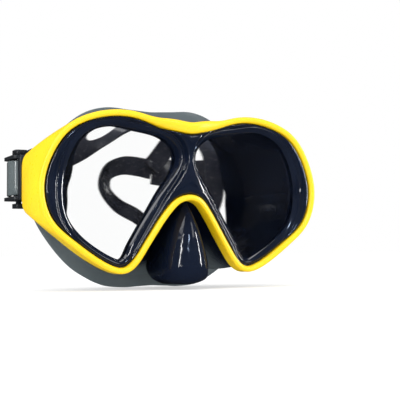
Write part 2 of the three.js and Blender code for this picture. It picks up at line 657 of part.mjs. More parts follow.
// A flat band along part of a route: rectangular sections whose width follows the given
// directions. The width is a number, or a function of the way along from 0 to 1.
function ribbon(route, width, steps, thickness = STRAP_THICKNESS, from = 0, to = 1) {
  const curve = (points) => new THREE.CatmullRomCurve3(points, false, 'centripetal');
  const path = curve(route.map(([x, y, z]) => new THREE.Vector3(x, y, z)));
  const lean = curve(route.map(([, , , u, v, w]) => new THREE.Vector3(u, v, w)));
  const rings = Array.from({ length: steps + 1 }, (_, k) => {
    const t = path.getUtoTmapping(from + (to - from) * k / steps);
    const wide = typeof width === 'function' ? width(k / steps) : width;
    const centre = path.getPoint(t);
    const along = path.getTangent(t);
    const across = lean.getPoint(t).projectOnPlane(along).normalize();
    const face = new THREE.Vector3().crossVectors(along, across);
    return [[1, 1], [-1, 1], [-1, -1], [1, -1]].map(([a, b]) => centre.clone()
      .addScaledVector(across, a * wide / 2).addScaledVector(face, b * thickness / 2));
  });
  return loft(rings);
}

// The free end outside, the turn round the roller, then the route behind the mask.
function wholeRoute(side, route) {
  const free = TAIL_END.map(([x, y, z, ...lean]) => [side * x, y, z, ...lean]);
  const turn = [0, 1, 2, 3, 4].map((k) => {
    const a = -Math.PI * k / 4;
    const x = ROLLER_X + WRAP_RADIUS * Math.cos(a);
    return [side * x, ROLLER_Y + WRAP_RADIUS * Math.sin(a), BUCKLE_Z, 0, 0, 1];
  });
  return [...free, ...turn, ...route];
}

function buildStrap() {
  const left = wholeRoute(-1, ROUTES.left);
  const slotWidth = (s) => 0.4 + SPLIT.width * Math.sqrt(Math.max(0, 1 - (2 * s - 1) ** 2));
  const slot = ribbon(left, slotWidth, 10, 2 * STRAP_THICKNESS, SPLIT.from, SPLIT.to);
  const bands = [
    ribbon(wholeRoute(1, ROUTES.right), STRAP_WIDTH, 64), ribbon(left, STRAP_WIDTH, 64),
    ribbon(STEM_BAND, BAND_WIDTH, 12), ribbon(LOOP_BAND, BAND_WIDTH, 54),
  ];
  addMesh('strap', toGeometry(cut(union(bands), [slot])), SILICONE);
}

// ---- assembly -----------------------------------------------------------------------

buildFrame();
buildBezel();
buildLens(1, 'lens_right');
buildLens(-1, 'lens_left');
buildSkirt();
buildStrap();
buildBuckle(1, 'right');
buildBuckle(-1, 'left');

export default mask;
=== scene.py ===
"""Two-window diving mask: detailed pieces, materials, studio and camera around the CAD frame.

Shapes are worked out in millimetres in the CAD frame (+Z up, glass towards -Y) and
written to Blender in metres.
"""

import json
import math

import bmesh
import bpy
import numpy as np
from mathutils import Matrix, Vector

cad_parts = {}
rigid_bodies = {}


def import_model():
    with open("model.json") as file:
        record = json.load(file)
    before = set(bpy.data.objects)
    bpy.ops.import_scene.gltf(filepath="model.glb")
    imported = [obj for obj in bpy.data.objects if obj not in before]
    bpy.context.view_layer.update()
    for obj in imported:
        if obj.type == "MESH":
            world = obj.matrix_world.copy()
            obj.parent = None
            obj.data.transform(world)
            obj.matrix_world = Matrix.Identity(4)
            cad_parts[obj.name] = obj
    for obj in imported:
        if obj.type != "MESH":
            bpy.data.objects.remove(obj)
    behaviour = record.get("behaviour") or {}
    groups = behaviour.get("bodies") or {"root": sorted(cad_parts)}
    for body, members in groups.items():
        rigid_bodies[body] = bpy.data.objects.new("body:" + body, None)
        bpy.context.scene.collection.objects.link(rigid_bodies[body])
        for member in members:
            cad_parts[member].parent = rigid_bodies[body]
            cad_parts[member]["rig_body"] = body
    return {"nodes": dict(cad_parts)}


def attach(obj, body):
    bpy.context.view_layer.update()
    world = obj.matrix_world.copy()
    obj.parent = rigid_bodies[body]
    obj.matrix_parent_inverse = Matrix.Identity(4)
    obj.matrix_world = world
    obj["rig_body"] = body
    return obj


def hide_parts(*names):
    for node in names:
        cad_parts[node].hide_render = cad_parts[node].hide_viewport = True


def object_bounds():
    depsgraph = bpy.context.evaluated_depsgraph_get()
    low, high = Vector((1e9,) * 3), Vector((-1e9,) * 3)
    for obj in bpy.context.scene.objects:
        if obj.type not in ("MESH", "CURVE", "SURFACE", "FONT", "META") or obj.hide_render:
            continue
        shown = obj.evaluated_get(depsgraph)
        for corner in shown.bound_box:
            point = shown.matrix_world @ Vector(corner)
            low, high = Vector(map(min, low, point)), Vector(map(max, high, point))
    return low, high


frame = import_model()
cad_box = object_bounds()

MM = 0.001

# ---- dimensions, as in the CAD ------------------------------------------------------

FRONT_Y = -52.0
BRIDGE_RISE = 6.0
BRIDGE_SPREAD = 14.0
FRONT_LEAN = -0.035
FRONT_BOW = -0.0009
RIM_WIDTH = 3.0
BROW_WEB = 2.5
BROW_WEB_SPREAD = 17.0
RIM_DEPTH = 8.5
RIM_SIDE_DEPTH = 13.0
BEZEL_INSET = 0.35
BEZEL_PROUD = 0.9
LENS_Y = -43.4
LENS_THICKNESS = 3.0
GAP = 0.3
SKIRT_WALL = 1.9
SKIRT_SWELL = 1.5
NECK_INSET = 0.6
LIP_THICKNESS = 1.6
SEAL_WIDTH = 7.2
SEAL_THICKNESS = 1.5
TEMPLE_SWEEP = 9.0
TEMPLE_LIP = 10.0
ARM_END = (78.0, -27.0, 1.2)
ARM_END_HALF = 14.0
ARM_WALL = 2.6
ARM_BULGE = 1.2
STRAP_WIDTH = 17.0
STRAP_THICKNESS = 2.2
BAND_WIDTH = 11.0
BUCKLE_Z = 4.5
ROLLER_X = 76.35
ROLLER_Y = -17.0
WRAP_RADIUS = 4.05

RIM_UPPER = [(0, 25.4), (13, 28.3), (30, 33.2), (46, 32.0), (60, 25.3), (69, 11.5), (71.9, -2.5),
             (68, -16.2), (56, -27.1), (40.5, -37.4), (33.6, -39.9)]
RIM_LOWER = [(33.6, -39.9), (29.4, -37.2), (21.5, -25.6), (12.8, -12.3), (6.6, -5.4), (0, -3.4)]
SEAL_UPPER = [(0, 43.5), (12, 44.3), (25, 45), (37, 41.5), (50, 31), (60, 18), (66, 2), (64, -12),
              (56, -26), (44, -39.5), (33, -46.5)]
SEAL_LOWER = [(33, -46.5), (26, -49), (15, -50), (8, -49.6), (0, -49.2)]
WINDOW = [(5.5, 13), (7.4, 20), (13, 24.3), (26, 27), (42, 28.6), (53.5, 23), (60.3, 11),
          (62.4, -3), (60, -15.5), (53, -24.4), (38.5, -33.8), (33.2, -35.2), (29.2, -28),
          (16, -5.6)]
NOSE_LEVELS = [(-7.5, 2.6, -45, -8), (-14, 5.4, -49, -8), (-22, 8.0, -52, -8), (-32, 10.4, -54, -8),
               (-40, 11.7, -54.5, -5), (-45, 11.2, -53, -14), (-47.6, 9.0, -50, -24)]

UPPER_STEPS = 168
LOWER_STEPS = 72

# ---- curves -------------------------------------------------------------------------


def smooth_path(points, per_span, closed=False, dims=3):
    """Dense points on a centripetal Catmull-Rom curve; extra columns are carried along."""
    p = np.array(points, float)
    if closed:
        ext = np.vstack([p[-1], p, p[0], p[1]])
    else:
        ext = np.vstack([2 * p[0] - p[1], p, 2 * p[-1] - p[-2]])
    u = np.linspace(0, 1, per_span, endpoint=False)[:, None]
    out = []
    for a, b, c, d in zip(ext, ext[1:], ext[2:], ext[3:]):
        gaps = [max(np.linalg.norm((q - s)[:dims]), 1e-6) ** 0.5 for s, q in ((a, b), (b, c), (c, d))]
        g0, g1, g2 = gaps
        m1 = ((b - a) / g0 - (c - a) / (g0 + g1) + (c - b) / g1) * g1
        m2 = ((c - b) / g1 - (d - b) / (g1 + g2) + (d - c) / g2) * g1
        out.append((2 * u**3 - 3 * u**2 + 1) * b + (u**3 - 2 * u**2 + u) * m1
                   + (3 * u**2 - 2 * u**3) * c + (u**3 - u**2) * m2)
    dense = np.vstack(out)
    return np.vstack([dense, dense[0] if closed else p[-1]])


def evenly(dense, count, dims=3):
    """count + 1 points evenly spaced along a dense polyline."""
    steps = np.linalg.norm(np.diff(dense[:, :dims], axis=0), axis=1)
    along = np.concatenate([[0], np.cumsum(steps)])
    at = np.linspace(0, along[-1], count + 1)
    return np.stack([np.interp(at, along, dense[:, k]) for k in range(dense.shape[1])], 1)


def softened(ring, sigma):
    """A closed ring smoothed along its length; sigma is in points."""
    reach = int(3 * sigma) + 1
    weights = np.exp(-0.5 * (np.arange(-reach, reach + 1) / sigma) ** 2)
    weights /= weights.sum()
    return sum(w * np.roll(ring, k - reach, axis=0) for k, w in enumerate(weights))


def outline(upper, lower, sigma):
    """The whole closed (x, z) outline, from the brow's middle round by +X."""
    top = evenly(smooth_path(upper, 40, dims=2), UPPER_STEPS, dims=2)
    bottom = evenly(smooth_path(lower, 40, dims=2), LOWER_STEPS, dims=2)
    right = np.vstack([top, bottom[1:]])
    left = right[1:-1][::-1] * [-1, 1]
    return softened(np.vstack([right, left]), sigma)


def offset(ring, distance):
    """Moves a closed (x, z) ring out along its normals. Negative moves it in."""
    along = np.roll(ring, -1, axis=0) - np.roll(ring, 1, axis=0)
    along /= np.linalg.norm(along, axis=1)[:, None]
    normal = np.stack([-along[:, 1], along[:, 0]], 1)
    return ring + normal * np.reshape(distance, (-1, 1))


def smoothstep(v, low, high):
    t = np.clip((v - low) / (high - low), 0, 1)
    return t * t * (3 - 2 * t)


def front_y(x, z):
    rise = BRIDGE_RISE * x * x / (x * x + BRIDGE_SPREAD**2)
    return FRONT_Y + rise + FRONT_LEAN * z + FRONT_BOW * z * z


def face_y(x, z):
    bend = (x / 66) ** 2
    return TEMPLE_SWEEP * bend - 5 * (1 - (z / 45) ** 2) * bend


def lens_y(x, z):
    return LENS_Y + FRONT_LEAN * z + 0 * x


def rim_depth(x):
    return RIM_DEPTH + (RIM_SIDE_DEPTH - RIM_DEPTH) * smoothstep(np.abs(x), 38, 68)


def lifted(ring, surface, depth=0.0):
    """An (x, z) ring placed on a surface y(x, z), moved back by depth."""
    x, z = ring[:, 0], ring[:, 1]
    return np.stack([x, surface(x, z) + depth, z], 1)


RIM = outline(RIM_UPPER, RIM_LOWER, 3.0)
SEAL = outline(SEAL_UPPER, SEAL_LOWER, 2.0)


def window_ring(side, out, count=320):
    ring = evenly(smooth_path(WINDOW, 40, closed=True, dims=2), count, dims=2)[:-1]
    ring = offset(softened(ring, 2.5), out)
    return ring if side > 0 else (ring * [-1, 1])[::-1]


def nearest(points, ring):
    """Distance from each (x, z) point to a closed polyline."""
    a, b = ring, np.roll(ring, -1, axis=0)
    ab = b - a
    best = np.full(len(points), 1e9)
    for k in range(0, len(points), 4000):
        p = points[k:k + 4000, None]
        t = np.clip(((p - a) * ab).sum(2) / (ab * ab).sum(1), 0, 1)
        gap = p - (a + t[..., None] * ab)
        best[k:k + 4000] = np.sqrt((gap * gap).sum(2).min(1))
    return best


# ---- meshes -------------------------------------------------------------------------


def tube_faces(count, around, closed):
    """Quads between `count` rings of `around` points."""
    faces = []
    for r in range(count if closed else count - 1):
        a, b = r * around, ((r + 1) % count) * around
        faces += [(a + i, a + (i + 1) % around, b + (i + 1) % around, b + i) for i in range(around)]
    return faces


def new_object(name, points, faces, sharp=35.0):
    mesh = bpy.data.meshes.new(name)
    mesh.from_pydata((np.asarray(points) * MM).tolist(), [], faces)
    obj = bpy.data.objects.new(name, mesh)
    bpy.context.scene.collection.objects.link(obj)
    tidy_mesh(obj, sharp)
    return obj


def tidy_mesh(obj, sharp=35.0, merge=0.002):
    """Merges doubled points, turns faces outwards and shades smooth but for sharp edges."""
    bm = bmesh.new()
    bm.from_mesh(obj.data)
    bmesh.ops.remove_doubles(bm, verts=bm.verts, dist=merge * MM)
    bmesh.ops.dissolve_degenerate(bm, edges=bm.edges, dist=merge * MM)
    bmesh.ops.recalc_face_normals(bm, faces=bm.faces)
    bm.to_mesh(obj.data)
    bm.free()
    obj.data.shade_smooth()
    obj.data.set_sharp_from_angle(angle=math.radians(sharp))


def loop_body(name, rings, sharp=35.0):
    """A body carried round a closed track: rings is an array (track, section, 3)."""
    rings = np.asarray(rings)
    n, m = rings.shape[:2]
    return new_object(name, rings.reshape(-1, 3), tube_faces(n, m, True), sharp)


def capped_body(name, rings, sharp=35.0):
    """A closed body through rings, with its two ends capped."""
    rings = np.asarray(rings)
    n, m = rings.shape[:2]
    faces = tube_faces(n, m, False)
    faces += [tuple(range(m))[::-1], tuple(range((n - 1) * m, n * m))]
    obj = new_object(name, rings.reshape(-1, 3), faces, sharp)
    bm = bmesh.new()
    bm.from_mesh(obj.data)
    bmesh.ops.triangulate(bm, faces=[f for f in bm.faces if len(f.verts) > 4])
    bm.to_mesh(obj.data)
    bm.free()
    return obj


def combine(target, tool, operation):
    """Joins or cuts target with tool, which is then removed."""
    modifier = target.modifiers.new("combine", "BOOLEAN")
    modifier.operation = operation
    modifier.solver = "MANIFOLD"
    modifier.object = tool
    bake(target)
    bpy.data.objects.remove(tool)


def bake(obj):
    """Applies every modifier of obj to its mesh."""
    bpy.context.view_layer.update()
    result = bpy.data.meshes.new_from_object(obj.evaluated_get(bpy.context.evaluated_depsgraph_get()))
    obj.modifiers.clear()
    obj.data = result


# ---- materials ----------------------------------------------------------------------


class Nodes:
    """A small helper round one material's node tree."""

    def __init__(self, name):
        self.material = bpy.data.materials.new(name)
        self.material.use_nodes = True
        self.tree = self.material.node_tree
        self.shader = self.tree.nodes["Principled BSDF"]
        self.place = self.add("ShaderNodeTexCoord").outputs["Object"]

    def add(self, kind, **values):
        node = self.tree.nodes.new(kind)
        for key, value in values.items():
            setattr(node, key, value)
        return node

    def link(self, a, b):
        self.tree.links.new(a, b)

    def set(self, **values):
        for key, value in values.items():
            self.shader.inputs[key.replace("_", " ")].default_value = value

    def noise(self, scale, detail=3.0, roughness=0.5, stretch=(1, 1, 1)):
        mapping = self.add("ShaderNodeMapping")
        mapping.inputs["Scale"].default_value = stretch
        self.link(self.place, mapping.inputs["Vector"])
        node = self.add("ShaderNodeTexNoise")
        node.inputs["Scale"].default_value = scale
        node.inputs["Detail"].default_value = detail
        node.inputs["Roughness"].default_value = roughness
        self.link(mapping.outputs["Vector"], node.inputs["Vector"])
        return node.outputs["Fac"]

    def ranged(self, value, low, high, to_low, to_high):
        node = self.add("ShaderNodeMapRange")
        sockets = ("From Min", "From Max", "To Min", "To Max")
        for socket, number in zip(sockets, (low, high, to_low, to_high)):
            node.inputs[socket].default_value = number
        self.link(value, node.inputs["Value"])
        return node.outputs["Result"]

    def mixed(self, factor, a, b):
        node = self.add("ShaderNodeMix", data_type="RGBA")
        self.link(factor, node.inputs["Factor"])
        for socket, colour in ((node.inputs["A"], a), (node.inputs["B"], b)):
            if hasattr(colour, "node"):
                self.link(colour, socket)
            else:
                socket.default_value = (*colour, 1)
        return node.outputs["Result"]

    def ridged(self, broad, fine, share):
        """Fine relief laid over broad relief."""
        node = self.add("ShaderNodeMath", operation="MULTIPLY_ADD")
        self.link(fine, node.inputs[0])
        node.inputs[1].default_value = share
        self.link(broad, node.inputs[2])
        return node.outputs[0]

    def bump(self, height, strength, distance):
        node = self.add("ShaderNodeBump")
        node.inputs["Strength"].default_value = strength
        node.inputs["Distance"].default_value = distance
        self.link(height, node.inputs["Height"])
        return node.outputs["Normal"]


MATTE_ROUGHNESS = 0.34            # what the grey outside of the skirt adds
# painted shade: metres along Y over which the strap's colour goes from grey at the buckles to dark behind
# the mask
STRAP_SHADE_SPAN = (-0.004, 0.012)   # metres along Y, from grey to dark


def yellow_plastic():
    n = Nodes("yellow_plastic")
    cloud = n.ranged(n.noise(35, 2), 0.3, 0.7, 0, 1)
    colour = n.mixed(cloud, (0.93, 0.60, 0.006), (0.96, 0.66, 0.012))
    n.link(colour, n.shader.inputs["Base Color"])
    n.link(n.ranged(n.noise(900, 4), 0.3, 0.7, 0.26, 0.38), n.shader.inputs["Roughness"])
    n.link(n.bump(n.noise(5200, 2), 0.06, 0.0002), n.shader.inputs["Normal"])
    n.set(Coat_Weight=0.25, Coat_Roughness=0.2, IOR=1.5, Subsurface_Weight=0.12, Subsurface_Scale=0.002)
    n.shader.inputs["Subsurface Radius"].default_value = (1.0, 0.6, 0.1)
    return n.material


def gloss_black():
    n = Nodes("gloss_black")
    cloud = n.ranged(n.noise(60, 3), 0.3, 0.7, 0, 1)
    n.link(n.mixed(cloud, (0.0035, 0.006, 0.014), (0.006, 0.010, 0.022)), n.shader.inputs["Base Color"])
    n.link(n.ranged(n.noise(700, 5, 0.7), 0.35, 0.75, 0.07, 0.16), n.shader.inputs["Roughness"])
    n.link(n.bump(n.noise(110, 2), 0.3, 0.0008), n.shader.inputs["Normal"])
    n.set(Coat_Weight=0.8, Coat_Roughness=0.03, IOR=1.5)
    return n.material


def silicone():
    """Grey and matte on the outside, dark and glossy inside and on the nose pocket; the dark inside is a
    painted shade.
    """
    n = Nodes("skirt_silicone")
    cloud = n.ranged(n.noise(45, 3), 0.3, 0.7, 0, 1)
    # painted shade: this point attribute is 1 where the skirt shows its grey outside and 0 where it is
    # painted dark as shade
    grey_vs_painted_shade = n.add("ShaderNodeAttribute", attribute_name="grey_vs_painted_shade").outputs["Fac"]
    # painted shade: this dark colour stands for the shade on the skirt's inner sides, and is also the nose
    # pocket's colour
    shaded_dark = n.mixed(cloud, (0.003, 0.005, 0.013), (0.006, 0.010, 0.022))
    grey = n.mixed(cloud, (0.085, 0.110, 0.120), (0.110, 0.135, 0.145))
    n.link(n.mixed(grey_vs_painted_shade, shaded_dark, grey), n.shader.inputs["Base Color"])
    matte = n.add("ShaderNodeMath", operation="MULTIPLY_ADD")
    n.link(grey_vs_painted_shade, matte.inputs[0])
    matte.inputs[1].default_value = MATTE_ROUGHNESS
    n.link(n.ranged(n.noise(500, 4), 0.3, 0.7, 0.07, 0.15), matte.inputs[2])
    n.link(matte.outputs[0], n.shader.inputs["Roughness"])
    n.link(n.bump(n.ridged(n.noise(42, 3), n.noise(150, 2), 0.25), 0.55, 0.0022), n.shader.inputs["Normal"])
    n.set(IOR=1.43, Coat_Weight=0.35, Coat_Roughness=0.04)
    return n.material


def strap_silicone():
    """Grey where the strap leaves the buckles, and painted darker behind the mask: a painted shade where
    the strap lies inside the mask.
    """
    n = Nodes("strap_silicone")
    cloud = n.ranged(n.noise(80, 3), 0.3, 0.7, 0, 1)
    split = n.add("ShaderNodeSeparateXYZ")
    n.link(n.place, split.inputs["Vector"])
    # painted shade: the strap is painted dark further back along Y, where it lies in the mask's shade
    shade_behind = n.ranged(split.outputs["Y"], *STRAP_SHADE_SPAN, 0, 1)
    grey = n.mixed(cloud, (0.085, 0.105, 0.110), (0.115, 0.135, 0.140))
    shaded_dark = n.mixed(cloud, (0.016, 0.017, 0.027), (0.040, 0.042, 0.055))
    n.link(n.mixed(shade_behind, grey, shaded_dark), n.shader.inputs["Base Color"])
    n.link(n.ranged(n.noise(600, 4), 0.3, 0.7, 0.16, 0.3), n.shader.inputs["Roughness"])
    n.link(n.bump(n.noise(260, 3), 0.2, 0.0004), n.shader.inputs["Normal"])
    n.set(IOR=1.43, Coat_Weight=0.5, Coat_Roughness=0.07)
    return n.material


def buckle_plastic():
    n = Nodes("buckle_plastic")
    cloud = n.ranged(n.noise(120, 3), 0.3, 0.7, 0, 1)
    n.link(n.mixed(cloud, (0.010, 0.012, 0.015), (0.017, 0.020, 0.024)), n.shader.inputs["Base Color"])
    n.link(n.ranged(n.noise(1500, 4), 0.3, 0.7, 0.3, 0.48), n.shader.inputs["Roughness"])
    n.link(n.bump(n.noise(6000, 2), 0.15, 0.0002), n.shader.inputs["Normal"])
    n.set(IOR=1.5)
    return n.material


def steel():
    n = Nodes("steel")
    brushed = n.noise(2500, 4, stretch=(1, 1, 0.05))
    n.link(n.ranged(brushed, 0.3, 0.7, 0.22, 0.4), n.shader.inputs["Roughness"])
    cloud = n.ranged(n.noise(300, 3), 0.3, 0.7, 0, 1)
    n.link(n.mixed(cloud, (0.50, 0.51, 0.52), (0.62, 0.63, 0.64)), n.shader.inputs["Base Color"])
    n.set(Metallic=1.0)
    return n.material


def clear_glass():
    n = Nodes("clear_glass")
    smear = n.ranged(n.noise(22, 4, 0.6), 0.35, 0.8, 0.0, 0.02)
    n.link(smear, n.shader.inputs["Roughness"])
    n.set(Base_Color=(0.97, 0.99, 0.985, 1), Transmission_Weight=1.0, IOR=1.02, Alpha=0.3,
          Coat_Weight=1.0, Coat_Roughness=0.02)
    return n.material


YELLOW = yellow_plastic()
BLACK = gloss_black()
SKIRT = silicone()
STRAP = strap_silicone()
BUCKLE = buckle_plastic()
STEEL = steel()
GLASS = clear_glass()


def finish_piece(obj, material, slot, *nodes, body="mask"):
    obj.data.materials.clear()
    obj.data.materials.append(material)
    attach(obj, body)
    if nodes:
        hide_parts(*nodes)
    return obj


# ---- yellow frame -------------------------------------------------------------------

RIM_FRONT = [(0.0, 2.4), (0.04, 1.4), (0.26, 0.72), (0.7, 0.26), (1.25, 0.05), (1.8, 0.0),
             (2.3, 0.12), (2.68, 0.45), (2.92, 0.95), (3.0, 1.6)]
FAN_TOP = (50, 74)        # outline points between which the arm's upper edge leaves the rim
FAN_BOTTOM = (124, 146)   # and where its lower edge comes back to it
WALL_STEPS = 16
LINING_STEPS = 8
LINING_START = 0.4        # how far before the rim's rear edge the lining starts
EDGE_ROUND = 0.5
END_ANGLES = (30, 60, 90, 120, 150)
ARM_HUB = (38.0, 1.0)     # the arm's end section lies round this (x, z)


def across_rim(out):
    """The rim's outline moved out by a part of its width, which grows to a web at the brow."""
    web = np.where(RIM[:, 1] > 0, BROW_WEB * np.exp(-((RIM[:, 0] / BROW_WEB_SPREAD) ** 4)), 0)
    return offset(RIM, out * (1 + web / RIM_WIDTH))


def arm_ends(half):
    """Where each section's outer wall ends, and how much of an arm section it is."""
    x, z = half[:, 0], half[:, 1]
    rim_end = np.stack([x, front_y(x, z) + rim_depth(x) - EDGE_ROUND, z], 1)
    index = np.arange(len(half))
    k = np.clip((index - FAN_TOP[1]) / (FAN_BOTTOM[0] - FAN_TOP[1]), 0, 1)
    t = 1 - 2 * k
    rear = np.stack([ARM_END[0] - 0.2 - 1.6 * t**6, ARM_END[1] - 0.7 - 1.5 * t**6,
                     ARM_END[2] + ARM_END_HALF * t], 1)
    share = smoothstep(index, *FAN_TOP) * (1 - smoothstep(index, *FAN_BOTTOM))
    return rim_end * (1 - share[:, None]) + rear * share[:, None], share


def build_frame():
    half = len(RIM) // 2 + 1
    outer = across_rim(RIM_WIDTH)[:half]
    inner = RIM[:half]
    ends, share = arm_ends(outer)
    tracks = [lifted(across_rim(out)[:half], front_y, depth) for out, depth in RIM_FRONT]
    start = tracks[-1]
    w = share[:, None]
    for s in range(1, WALL_STEPS + 1):
        q = s / WALL_STEPS
        point = start + (ends - start) * q
        point[:, 0] += ARM_BULGE * math.sin(math.pi * q) * share
        tracks.append(point)
    hub = np.stack([np.full(half, ARM_HUB[0]), ends[:, 1], np.full(half, ARM_HUB[1])], 1)
    inward = hub - ends
    inward /= np.linalg.norm(inward, axis=1)[:, None]
    normal_in = lifted(inner, front_y) - lifted(outer, front_y)
    normal_in[:, 1] = 0
    across = normal_in * (1 - w) + inward * ARM_WALL * w
    lining_end = ends + across
    middle = (ends + lining_end) / 2
    for angle in END_ANGLES:
        c, s = math.cos(math.radians(angle)), math.sin(math.radians(angle))
        point = middle - across / 2 * c
        point[:, 1] += EDGE_ROUND * s
        tracks.append(point)
    x = inner[:, 0]
    root = lifted(inner, front_y)
    root[:, 1] += rim_depth(x) - LINING_START
    for s in range(LINING_STEPS):
        q = 1 - s / LINING_STEPS
        tracks.append(root + (lining_end - root) * q)
    tracks.append(root)
    right = np.stack(tracks, 1)
    left = right[1:-1][::-1] * [-1, 1, 1]
    return loop_body("frame_yellow", np.concatenate([right, left]), 50)


finish_piece(build_frame(), YELLOW, "rim_yellow", "main_frame")

# ---- bezel --------------------------------------------------------------------------

WINDOW_HUB = (31.0, 0.0)           # loops between window and rim lie round this (x, z)
MIDDLE = 0.02                      # points nearer than this to x = 0 lie on the middle line
BEZEL_FOOT = 0.5                   # how far before the glass the window's edge starts
RING_WIDTH = 2.6                   # the raised ring round each window
GROOVE_AT, GROOVE_WIDTH = 3.2, 0.45
STEP = (2.9, 4.6)                  # and the step up to the bridge
RING_SHARE, GROOVE_SHARE, STEP_SHARE = 0.60, 0.05, 0.40
CROWN_FROM, CROWN = 3.4, 0.75
RIM_ROUND, RIM_DROP = 1.5, 1.2
RIM_FRACTIONS = [0.93, 0.96, 0.985]
BEZEL_LOOPS = 44


def ray_hit(origin, through, ring):
    """Where the ray from origin through a point leaves a closed (x, z) polyline."""
    a, b = ring, np.roll(ring, -1, axis=0)
    d = through - origin
    e = b - a
    cross = d[0] * e[:, 1] - d[1] * e[:, 0]
    cross = np.where(np.abs(cross) < 1e-12, 1e-12, cross)
    w = a - origin
    t = (w[:, 0] * e[:, 1] - w[:, 1] * e[:, 0]) / cross
    u = (w[:, 0] * d[1] - w[:, 1] * d[0]) / cross
    hits = t[(u >= -1e-9) & (u <= 1 + 1e-9) & (t > 0.2)]
    return origin + d * hits.max()


def half_loops(window, edge, fractions):
    """Loops from a right-hand window out to the edge ring's right half."""
    half = len(edge) // 2 + 1
    cell = np.vstack([edge[:half]])
    cell[[0, -1], 0] = 0.0
    hub = np.array(WINDOW_HUB)
    ends = np.array([ray_hit(hub, p, cell) for p in window])
    near = ends[:, 0] < MIDDLE
    ends[near, 0] = 0.0
    # the two ends of the middle line are kept as points of the last loop
    for corner in (cell[0], cell[-1]):
        k = np.argmin(np.linalg.norm(ends - corner, axis=1))
        ends[k] = corner
    return [window * (1 - f) + ends * f for f in fractions]


def plate_body(name, window, edge, fractions, top, bottom, bottom_fractions):
    """A plate with two windows: top(points) and bottom(points) give y for (x, z) points."""
    loops_top = half_loops(window, edge, fractions)
    loops_bottom = half_loops(window, edge, bottom_fractions)
    rings = [np.stack([p[:, 0], top(p), p[:, 1]], 1) for p in loops_top]
    rings += [np.stack([p[:, 0], bottom(p), p[:, 1]], 1) for p in loops_bottom[::-1]]
    rings = np.asarray(rings)
    n, m = rings.shape[:2]
    faces = tube_faces(n, m, True)
    points = rings.reshape(-1, 3)
    seam = len(loops_top) - 1
    keep = []
    for f in faces:
        on_seam = {v // m for v in f} == {seam, seam + 1}
        middle = all(abs(points[v][0]) < 1e-6 for v in f)
        if not (on_seam and middle):
            keep.append(f)
    mirrored = points * [-1, 1, 1]
    count = len(points)
    keep += [tuple(v + count for v in f)[::-1] for f in keep]
    return new_object(name, np.vstack([points, mirrored]), keep, 40)


def behind_lens(depth):
    """A plane behind the glass's front: gives y for (x, z) points."""
    def height(p):
        return lens_y(p[:, 0], p[:, 1]) + depth
    return height


def bezel_top(window, rim):
    """The bezel's front: a raised ring round the window, a groove, and a crowned bridge."""
    def height(p):
        both = np.stack([np.abs(p[:, 0]), p[:, 1]], 1)
        to_window = nearest(both, window)
        to_rim = nearest(both, rim)
        face = front_y(p[:, 0], p[:, 1]) + BEZEL_PROUD
        low = lens_y(p[:, 0], p[:, 1]) - BEZEL_FOOT
        width = np.maximum(to_window + to_rim, 1e-6)
        ring = np.sin(np.clip(to_window / RING_WIDTH, 0, 1) * math.pi / 2) ** 0.9
        groove = np.exp(-((to_window - GROOVE_AT) / GROOVE_WIDTH) ** 2)
        rise = RING_SHARE * ring - GROOVE_SHARE * groove + STEP_SHARE * smoothstep(to_window, *STEP)
        y = low + (face - low) * rise
        crown = 4 * np.clip(to_window - CROWN_FROM, 0, None) * to_rim / width**2
        y -= CROWN * np.clip(crown, 0, 1)
        fall = 1 - np.clip(to_rim / RIM_ROUND, 0, 1)
        edge = 1 - np.sqrt(np.clip(1 - fall**2, 0, 1))
        return y + RIM_DROP * edge
    return height


def build_bezel():
    window = window_ring(1, 0)
    edge = offset(RIM, -BEZEL_INSET)
    u = np.linspace(0, 1, BEZEL_LOOPS)
    fractions = u * (0.55 + 0.45 * u * u)
    fractions = np.sort(np.concatenate([fractions, RIM_FRACTIONS]))
    return plate_body("bezel_black", window, edge, fractions, bezel_top(window, edge),
                      behind_lens(-GAP), np.linspace(0, 1, 6))


finish_piece(build_bezel(), BLACK, "bezel_black", "lens_bezel")

# ---- skirt --------------------------------------------------------------------------

WALL_RINGS = 14
MOUTH_LIP = 1.2                    # how far the mouth's edge stands inside the wall
MOUTH_EDGE = [(0.8, 0), (0.12, -0.12), (0, -0.4), (0.12, -0.68), (0.8, -0.85)]
SEAL_BACK = [(7, 0.97), (4, 0.85), (1.6, 0.7), (0.4, 0.62)]
SEAL_TIP = [(0, -0.5), (0.2, -0.16), (0.9, -0.02)]
POCKET_TIP = 14.0                  # radius of the pocket's front
POCKET_BOTTOM = 3.2                # height of its rounded bottom
POCKET_OPEN_FROM = -38             # below this level the pocket's rear is closed
LEDGE_INSET = 0.4
FLANGE = (6.0, 9.0)                # grey flange, in mm in from the seal's edge


def skirt_rings(inset):
    """The wall's rings from behind the glass to the seal."""
    neck = offset(RIM, -NECK_INSET - inset)
    backing = lifted(neck, lens_y, LENS_THICKNESS + GAP)
    clear = lifted(neck, front_y, 2 * GAP)
    clear[:, 1] = np.maximum(clear[:, 1] + rim_depth(clear[:, 0]), backing[:, 1] + LIP_THICKNESS)
    back = lifted(offset(SEAL, -SEAL_WIDTH - inset), face_y, -SEAL_THICKNESS)
    rings = [backing]
    for t in np.linspace(0, 1, WALL_RINGS):
        ring = clear * (1 - t) + back * t
        flat = offset(ring[:, [0, 2]], SKIRT_SWELL * math.sin(math.pi * t))
        rings.append(np.stack([flat[:, 0], ring[:, 1], flat[:, 1]], 1))
    return rings


def seal_ring(out, depth):
    return lifted(offset(SEAL, -out), face_y, depth)


def mouth_ring(grow, depth):
    """The seal's inner edge, which reaches further in at the temples."""
    ring = offset(SEAL, -SEAL_WIDTH - SKIRT_WALL - MOUTH_LIP + grow)
    x, z = ring[:, 0], ring[:, 1]
    share = smoothstep(np.abs(x), 12, 56) * smoothstep(z, -28, -2) * (1 - smoothstep(z, 6, 34))
    reach = TEMPLE_LIP * share
    ring = np.stack([ring[:, 0] - np.sign(ring[:, 0]) * reach, ring[:, 1]], 1)
    return lifted(ring, face_y, depth)


